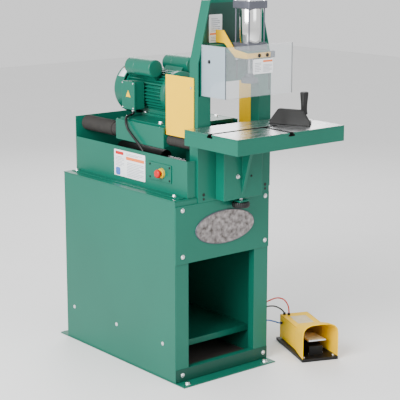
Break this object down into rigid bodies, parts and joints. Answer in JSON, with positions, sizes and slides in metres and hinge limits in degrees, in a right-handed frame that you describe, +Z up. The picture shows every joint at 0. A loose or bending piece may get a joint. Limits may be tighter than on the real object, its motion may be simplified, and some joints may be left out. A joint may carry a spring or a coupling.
{
  "type": "horizontal boring machine",
  "caption": "Floor-standing pneumatic horizontal boring machine: motor on a slide behind a column window, T-slot table, clamp cylinder, clear guard and foot valve.",
  "frame": {"origin": "centre of the cabinet's footprint, on the floor", "axes": "+Z up, -Y towards the operator, +X to the operator's right"},
  "size_m": [0.7706, 1.071, 1.3966],
  "materials": {
    "green_paint": "satin",
    "ground_steel": "ground",
    "steel": "satin",
    "yellow_paint": "satin",
    "black_paint": "satin",
    "rubber": "matt",
    "grey_cap": "anodised",
    "clear_acrylic": "clear",
    "red_plastic": "gloss",
    "blue_plastic": "gloss",
    "black_plastic": "satin"
  },
  "bodies": {
    "root": {"cabinet_base": "green_paint", "cabinet_left_panel": "green_paint", "cabinet_right_panel": "green_paint", "cabinet_rear_panel": "green_paint", "cabinet_top_plate": "green_paint", "cabinet_front_frame": "green_paint", "cabinet_front_cover": "green_paint", "cabinet_shelf": "green_paint", "tray_left_wall": "green_paint", "tray_right_wall": "green_paint", "tray_rear_wall": "green_paint", "column": "green_paint", "clamp_bracket": "green_paint", "switch_plate": "green_paint", "guide_rod_left": "steel", "guide_rod_right": "steel", "cylinder_barrel": "steel", "side_guard_left": "yellow_paint", "side_guard_right": "yellow_paint", "guard_arm": "yellow_paint", "foot_valve_hood": "yellow_paint", "foot_valve_base": "black_paint", "bellows_front_left": "rubber", "bellows_front_right": "rubber", "bellows_rear_left": "rubber", "bellows_rear_right": "rubber", "cylinder_lower_cap": "grey_cap", "cylinder_upper_cap": "grey_cap", "feed_cylinder": "grey_cap", "guard_window": "clear_acrylic", "air_tube_red": "red_plastic", "air_tube_blue": "blue_plastic", "air_tube_black": "black_plastic", "motor_cable": "black_plastic"},
    "carriage": {"carriage_side_left": "green_paint", "carriage_side_right": "green_paint", "motor_plate": "green_paint", "feed_cylinder_rod": "steel", "motor_body": "green_paint", "fan_cowl": "green_paint", "junction_box": "green_paint", "capacitor_cover_left": "green_paint", "capacitor_cover_right": "green_paint"},
    "rotor": {"motor_shaft": "steel", "cooling_fan": "black_plastic", "tool_chuck": "steel"},
    "press": {"piston_rod": "steel", "press_foot": "grey_cap"},
    "table": {"knee": "green_paint", "table_casting": "green_paint", "table_plate_rear": "ground_steel", "table_plate_front_left": "ground_steel", "table_plate_front_right": "ground_steel"},
    "height_knob": {"table_knob": "black_plastic"},
    "miter_slide": {"miter_bar": "steel"},
    "miter_head": {"miter_head": "black_paint"},
    "miter_handle": {"miter_handle": "black_plastic"},
    "pedal": {"foot_pedal": "steel"},
    "estop": {"estop_button": "red_plastic"}
  },
  "joints": [
    {"name": "carriage_feed", "type": "slide", "parent": "root", "child": "carriage", "axis": [0, -1, 0], "range_m": [0, 0.1], "deforming": ["bellows_front_left", "bellows_front_right", "bellows_rear_left", "bellows_rear_right", "motor_cable"]},
    {"name": "spindle_spin", "type": "hinge", "parent": "carriage", "child": "rotor", "pos_m": [0.053, -0.1, 1.0178], "axis": [0, -1, 0], "continuous": true},
    {"name": "clamp_press", "type": "slide", "parent": "root", "child": "press", "axis": [0, 0, -1], "range_m": [0, 0.085]},
    {"name": "table_height", "type": "slide", "parent": "root", "child": "table", "axis": [0, 0, 1], "range_m": [-0.005, 0.045]},
    {"name": "height_knob_turn", "type": "hinge", "parent": "root", "child": "height_knob", "pos_m": [0.053, -0.3985, 0.65], "axis": [0, 0, 1], "range_deg": [-600, 5400]},
    {"name": "miter_travel", "type": "slide", "parent": "table", "child": "miter_slide", "axis": [1, 0, 0], "range_m": [-0.3, 0]},
    {"name": "miter_swing", "type": "hinge", "parent": "miter_slide", "child": "miter_head", "pos_m": [0.19, -0.512, 0.95], "axis": [0, 0, 1], "range_deg": [-50, 50]},
    {"name": "miter_lock", "type": "hinge", "parent": "miter_head", "child": "miter_handle", "pos_m": [0.2235, -0.5468, 0.96], "axis": [0, 0, 1], "range_deg": [-180, 180]},
    {"name": "pedal_press", "type": "hinge", "parent": "root", "child": "pedal", "pos_m": [0.4311, -0.3568, 0.062], "axis": [0.9272, -0.3746, 0], "range_deg": [0, 8], "stiffness_Nm_per_rad": 4},
    {"name": "estop_press", "type": "slide", "parent": "root", "child": "estop", "axis": [1, 0, 0], "range_m": [0, 0.005], "stiffness_N_per_m": 800}
  ],
  "couplings": [
    {"joint": "height_knob_turn", "follows": "table_height", "rad_per_m": 2094.4}
  ]
}
